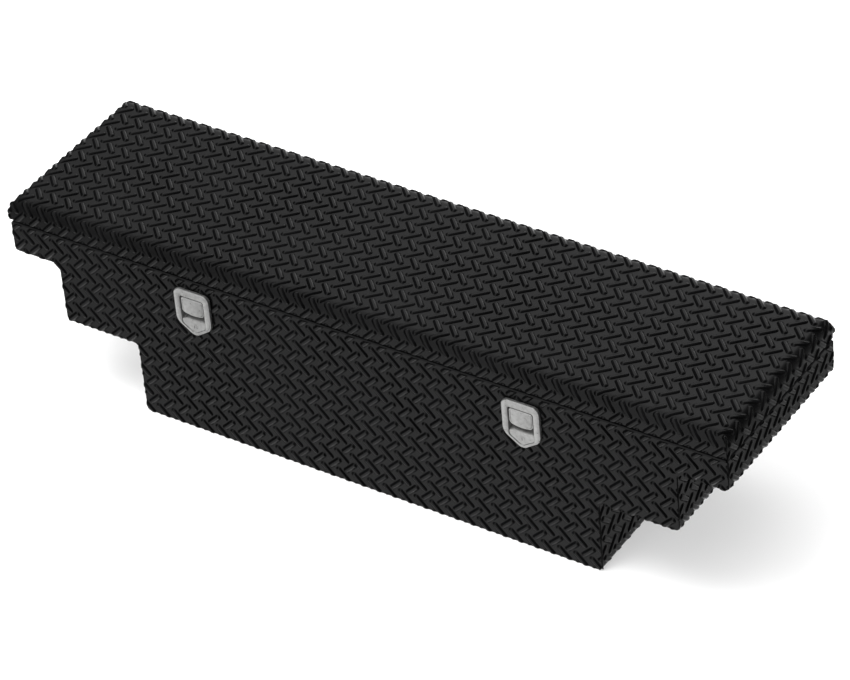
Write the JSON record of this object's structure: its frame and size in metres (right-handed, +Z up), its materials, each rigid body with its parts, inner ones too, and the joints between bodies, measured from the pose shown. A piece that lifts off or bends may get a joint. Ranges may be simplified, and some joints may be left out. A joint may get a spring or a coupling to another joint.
{
  "type": "truck tool box",
  "caption": "Black tread plate crossover tool box for a pickup bed, with stepped ends, a rear-hinged lid on gas struts and paddle latches.",
  "frame": {"origin": "centre of the bottom of the bounding box", "axes": "+X along the box to the right as seen from the front, +Y to the hinge side, +Z up; the latches face -Y"},
  "size_m": [1.778, 0.459, 0.465],
  "materials": {
    "black_coat": "matte",
    "stainless": "satin",
    "zinc_plate": "satin",
    "chrome_rod": "polished",
    "rubber": "matte",
    "foam": "matte",
    "black_nylon": "matte"
  },
  "bodies": {
    "tub": {"front_panel": "black_coat", "rear_panel": "black_coat", "left_end": "black_coat", "right_end": "black_coat", "floor_plate": "black_coat", "rim_seal": "rubber", "hinge_leaf_tub": "stainless", "left_latch_gasket": "rubber", "left_latch_bezel": "stainless", "left_paddle_pin": "zinc_plate", "left_paddle_spring": "zinc_plate", "left_latch_frame": "zinc_plate", "left_hook_pin": "zinc_plate", "left_trigger_pin": "zinc_plate", "left_strut_tub_bracket": "zinc_plate", "right_latch_gasket": "rubber", "right_latch_bezel": "stainless", "right_paddle_pin": "zinc_plate", "right_paddle_spring": "zinc_plate", "right_latch_frame": "zinc_plate", "right_hook_pin": "zinc_plate", "right_trigger_pin": "zinc_plate", "right_strut_tub_bracket": "zinc_plate"},
    "lid": {"lid_skin": "black_coat", "lid_foam_core": "foam", "lid_inner_pan": "black_coat", "hinge_leaf_lid": "stainless", "hinge_pin": "stainless", "left_striker": "zinc_plate", "left_strut_lid_bracket": "zinc_plate", "right_striker": "zinc_plate", "right_strut_lid_bracket": "zinc_plate"},
    "left_paddle_body": {"left_paddle": "stainless"},
    "left_hook_body": {"left_latch_hook": "zinc_plate"},
    "left_trigger_body": {"left_latch_trigger": "zinc_plate"},
    "left_lock_body": {"left_lock_plug": "stainless", "left_lock_cam": "zinc_plate"},
    "left_strut_tube_body": {"left_strut_tube": "black_nylon", "left_strut_tube_eye": "black_nylon"},
    "left_strut_rod_body": {"left_strut_rod": "chrome_rod", "left_strut_rod_eye": "black_nylon"},
    "right_paddle_body": {"right_paddle": "stainless"},
    "right_hook_body": {"right_latch_hook": "zinc_plate"},
    "right_trigger_body": {"right_latch_trigger": "zinc_plate"},
    "right_lock_body": {"right_lock_plug": "stainless", "right_lock_cam": "zinc_plate"},
    "right_strut_tube_body": {"right_strut_tube": "black_nylon", "right_strut_tube_eye": "black_nylon"},
    "right_strut_rod_body": {"right_strut_rod": "chrome_rod", "right_strut_rod_eye": "black_nylon"}
  },
  "joints": [
    {"name": "lid_hinge", "type": "hinge", "parent": "tub", "child": "lid", "pos_m": [0, 0.2255, 0.412], "axis": [-1, 0, 0], "range_deg": [0, 70]},
    {"name": "left_paddle_hinge", "type": "hinge", "parent": "tub", "child": "left_paddle_body", "pos_m": [-0.41, -0.2216, 0.3632], "axis": [-1, 0, 0], "range_deg": [0, 30], "stiffness_Nm_per_rad": 0.3, "springref_deg": -17.19},
    {"name": "left_trigger_pivot", "type": "hinge", "parent": "tub", "child": "left_trigger_body", "pos_m": [-0.41, -0.175, 0.343], "axis": [1, 0, 0], "range_deg": [0, 28]},
    {"name": "left_hook_pivot", "type": "hinge", "parent": "tub", "child": "left_hook_body", "pos_m": [-0.434, -0.175, 0.362], "axis": [0, 1, 0], "range_deg": [0, 60]},
    {"name": "left_lock_turn", "type": "hinge", "parent": "tub", "child": "left_lock_body", "pos_m": [-0.41, -0.221, 0.293], "axis": [0, -1, 0], "range_deg": [0, 90]},
    {"name": "left_strut_swing", "type": "hinge", "parent": "tub", "child": "left_strut_tube_body", "pos_m": [-0.85, 0.1956, 0.3704], "axis": [-1, 0, 0], "range_deg": [0, 68]},
    {"name": "left_strut_slide", "type": "slide", "parent": "left_strut_tube_body", "child": "left_strut_rod_body", "axis": [0, -0.9863, 0.165], "range_m": [0, 0.0586]},
    {"name": "right_paddle_hinge", "type": "hinge", "parent": "tub", "child": "right_paddle_body", "pos_m": [0.41, -0.2216, 0.3632], "axis": [-1, 0, 0], "range_deg": [0, 30], "stiffness_Nm_per_rad": 0.3, "springref_deg": -17.19},
    {"name": "right_trigger_pivot", "type": "hinge", "parent": "tub", "child": "right_trigger_body", "pos_m": [0.41, -0.175, 0.343], "axis": [1, 0, 0], "range_deg": [0, 28]},
    {"name": "right_hook_pivot", "type": "hinge", "parent": "tub", "child": "right_hook_body", "pos_m": [0.386, -0.175, 0.362], "axis": [0, 1, 0], "range_deg": [0, 60]},
    {"name": "right_lock_turn", "type": "hinge", "parent": "tub", "child": "right_lock_body", "pos_m": [0.41, -0.221, 0.293], "axis": [0, -1, 0], "range_deg": [0, 90]},
    {"name": "right_strut_swing", "type": "hinge", "parent": "tub", "child": "right_strut_tube_body", "pos_m": [0.85, 0.1956, 0.3704], "axis": [-1, 0, 0], "range_deg": [0, 68]},
    {"name": "right_strut_slide", "type": "slide", "parent": "right_strut_tube_body", "child": "right_strut_rod_body", "axis": [0, -0.9863, 0.165], "range_m": [0, 0.0586]}
  ],
  "couplings": [
    {"joint": "left_trigger_pivot", "follows": "left_paddle_hinge", "ratio": 0.9},
    {"joint": "left_strut_swing", "follows": "lid_hinge", "ratio": 0.967},
    {"joint": "left_strut_slide", "follows": "lid_hinge", "m_per_rad": 0.047683},
    {"joint": "right_trigger_pivot", "follows": "right_paddle_hinge", "ratio": 0.9},
    {"joint": "right_strut_swing", "follows": "lid_hinge", "ratio": 0.967},
    {"joint": "right_strut_slide", "follows": "lid_hinge", "m_per_rad": 0.047683}
  ]
}
